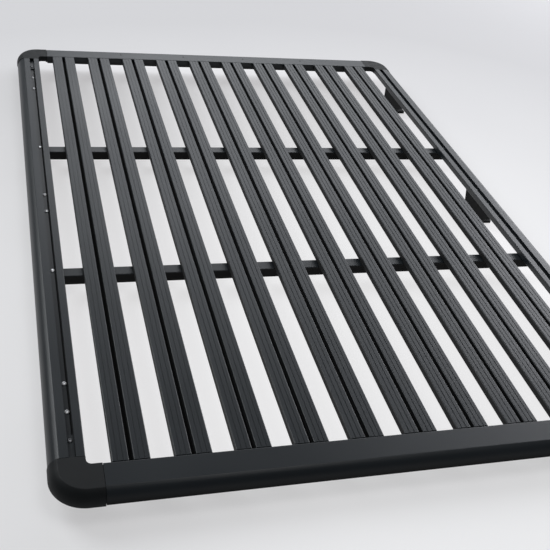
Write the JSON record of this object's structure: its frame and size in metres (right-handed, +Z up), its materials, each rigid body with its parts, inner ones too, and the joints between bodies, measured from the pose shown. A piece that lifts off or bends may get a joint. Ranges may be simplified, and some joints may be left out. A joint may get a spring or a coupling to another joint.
{
  "type": "roof rack",
  "caption": "Flat platform roof rack with lengthwise T-slotted slats in a rounded frame, cross bars beneath and bent mounting feet.",
  "frame": {"origin": "centre of the footprint at the level the foot pads stand on", "axes": "+X across the rack to its right side, +Y along the slats to the back rail, +Z up; the front rail faces -Y"},
  "size_m": [1.2734, 1.8424, 0.07],
  "materials": {
    "coated_aluminium": "satin black powder coat on aluminium",
    "corner_moulding": "fine grained black moulding",
    "coated_steel": "matte black powder coat on steel plate",
    "stainless": "bright stainless steel",
    "rubber": "matte black rubber"
  },
  "bodies": {
    "root": {"left_side_rail": "coated_aluminium", "right_side_rail": "coated_aluminium", "front_rail": "coated_aluminium", "back_rail": "coated_aluminium", "corner_front_left": "corner_moulding", "corner_front_right": "corner_moulding", "corner_back_left": "corner_moulding", "corner_back_right": "corner_moulding", "slat_1": "coated_aluminium", "slat_2": "coated_aluminium", "slat_3": "coated_aluminium", "slat_4": "coated_aluminium", "slat_5": "coated_aluminium", "slat_6": "coated_aluminium", "slat_7": "coated_aluminium", "slat_8": "coated_aluminium", "slat_9": "coated_aluminium", "slat_10": "coated_aluminium", "front_cross_bar": "coated_aluminium", "rear_cross_bar": "coated_aluminium", "cross_bar_end_blocks": "coated_aluminium", "bracket_left_front": "coated_steel", "bracket_left_middle": "coated_steel", "bracket_left_rear": "coated_steel", "bracket_right_front": "coated_steel", "bracket_right_middle": "coated_steel", "bracket_right_rear": "coated_steel", "foot_pads": "rubber", "bracket_bolts_left": "stainless", "bracket_bolts_right": "stainless", "cross_bar_nuts": "stainless", "corner_tongues": "coated_aluminium", "corner_screws": "stainless"}
  },
  "joints": []
}
